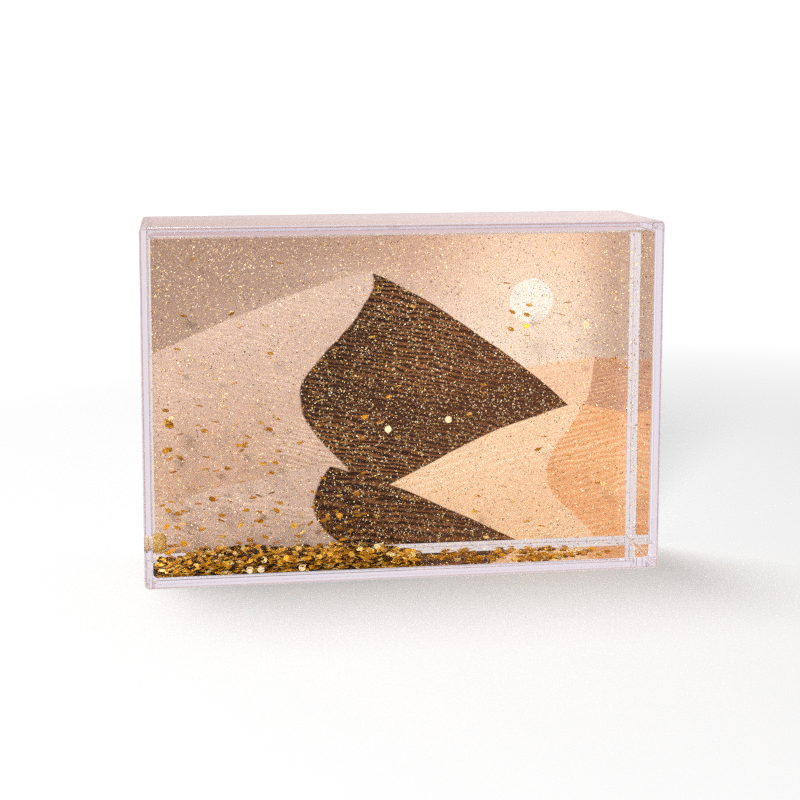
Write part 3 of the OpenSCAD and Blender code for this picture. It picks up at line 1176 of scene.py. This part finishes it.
def make_camera():
    data = bpy.data.cameras.new("camera")
    data.sensor_width = SENSOR
    data.lens = FOCAL_PX / IMAGE_PX * SENSOR
    data.shift_x = (IMAGE_PX / 2 - MIDDLE_PX[0]) / IMAGE_PX
    data.shift_y = (MIDDLE_PX[1] - IMAGE_PX / 2) / IMAGE_PX
    data.clip_start = 0.01
    data.clip_end = 50
    camera = bpy.data.objects.new("camera", data)
    bpy.context.scene.collection.objects.link(camera)
    turn = Matrix.Rotation(math.radians(-CAMERA_YAW), 4, "Z")
    tilt = Matrix.Rotation(math.radians(90 + CAMERA_PITCH), 4, "X")
    roll = Matrix.Rotation(math.radians(CAMERA_ROLL), 4, "Z")
    camera.matrix_world = Matrix.Translation(Vector(CAMERA_AT) * MM) @ turn @ tilt @ roll
    bpy.context.scene.camera = camera


def make_floor():
    """A plain white floor that keeps the shadow. Through glass it is white too. In front of the object,
    one reflection sees it dark, as flags beside a studio camera would make it, so that the front plate
    stays clear, and more than one see it pale."""
    bpy.ops.mesh.primitive_plane_add(size=FLOOR_SIZE)
    floor = bpy.context.object
    floor.name = "floor"
    floor.location = (0, 0, -FLOOR_DROP)
    g = new_graph("floor_white")
    g.finish(Base_Color=(FLOOR_TONE, FLOOR_TONE, FLOOR_TONE, 1), Roughness=0.9, Specular_IOR_Level=0.0)
    x, y, _ = g.split(g.place())
    away = g.math("SQRT", x * x + y * y)
    glow = g.light("Is Camera Ray") * g.smooth(away, GLOW_FROM, GLOW_TO, NEAR_GLOW, FAR_GLOW)
    lift = g.result("ShaderNodeEmission", WHITE, glow)
    surface = Wire(g, g.tree.nodes["Principled BSDF"].outputs[0])
    direct = g.result("ShaderNodeAddShader", surface, lift)
    reflections = g.light("Glossy Depth")
    several = g.math("GREATER_THAN", reflections, 1.5)
    in_front = g.mix(several, linear(*FLAG_COLOUR), linear(*LONG_WAY_COLOUR))
    in_front = g.mix(g.math("LESS_THAN", reflections, 0.5), in_front, WHITE)
    in_glass = g.result("ShaderNodeEmission", g.mix(g.smooth(y, FLAG_TO_Y, FLAG_FROM_Y), in_front, WHITE))
    both = g.result("ShaderNodeMixShader", g.glass_ray(), direct, in_glass)
    g.put(g.tree.nodes["Material Output"].inputs["Surface"], both)
    dress(floor, g.owner)


def make_world():
    """White to the eye and through glass, and a soft even light on everything. Reflections see it warm
    near the horizon, paler there on the right, and dark behind the camera."""
    world = bpy.data.worlds.new("studio")
    bpy.context.scene.world = world
    g = Graph(world)
    right, back, up = g.split(g.coordinates("Generated"))
    to_right = g.step(right, RIGHT_FROM, RIGHT_TO)
    horizon = g.mix(to_right, linear(*MIRROR_COLOUR), linear(*MIRROR_RIGHT_COLOUR))
    warm = g.light("Is Glossy Ray") * g.step(up, HORIZON_TO, HORIZON_FROM)
    dark = g.math("GREATER_THAN", g.light("Glossy Depth"), 0.5) * g.step(back, BEHIND_FROM, BEHIND_TO)
    seen = g.math("MAXIMUM", g.light("Is Camera Ray"), g.glass_ray())
    background = g.tree.nodes["Background"]
    g.put(background.inputs["Color"], g.mix(dark, g.mix(warm, WHITE, horizon), linear(*BEHIND_COLOUR)))
    g.put(background.inputs["Strength"], g.step(seen, 0.0, 1.0, SKY_LIGHT, 1.0))


def make_lamp(name, place, size, power):
    """A large soft round lamp that faces the object."""
    lamp = bpy.data.lights.new(name, "AREA")
    lamp.shape = "DISK"
    lamp.size = size
    lamp.energy = power
    holder = bpy.data.objects.new(name, lamp)
    bpy.context.scene.collection.objects.link(holder)
    holder.location = place
    holder.rotation_euler = (Vector(LAMP_AIM) - holder.location).to_track_quat("-Z", "Y").to_euler()


make_camera()
make_floor()
make_world()
for lamp in LAMPS:
    make_lamp(*lamp)

case = make_case()
plate = make_plate()
bead = make_bead()
tray = make_insert()
liquid = make_liquid()
plug = make_plug()
sealant = make_sealant()
card = make_card()
bed = make_bed()
core = make_core()
floor_flakes = make_floor_flakes()
drift = make_drift()
discs = make_discs()
dust = make_dust()
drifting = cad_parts["floating_flakes"]

dress(case, case_material())
dress(plate, plate_material())
dress(tray, tray_material())
dress(liquid, liquid_material())
dress(bead, glue_material("glue", (208, 176, 148)))
dress(sealant, glue_material("port_seal", (238, 228, 200)))
dress(plug, rubber_material())
dress(card, print_material())
# Near-black painted shade on nearly a third of the heap's flakes, and barely any on the loose ones
dress(bed, flake_material("gold_flakes", (16, 8, 2), 0.3))
drift_gold = flake_material("drifting_flakes", (72, 42, 8), 0.02)
for piece in (floor_flakes, drifting, drift):
    dress(piece, drift_gold)
dress(discs, disc_material())
dress(core, shade_core_material())
dress(dust, dust_material())
for piece in (case, plate, tray, liquid, dust):
    clear(piece)

scene = bpy.context.scene
scene.view_settings.view_transform = "Standard"
scene.cycles.max_bounces = BOUNCES
scene.cycles.transmission_bounces = BOUNCES
scene.cycles.glossy_bounces = BOUNCES
# The denoiser takes the fine sparkle for noise
scene.cycles.use_denoising = False
scene.cycles.sample_clamp_indirect = 3.0
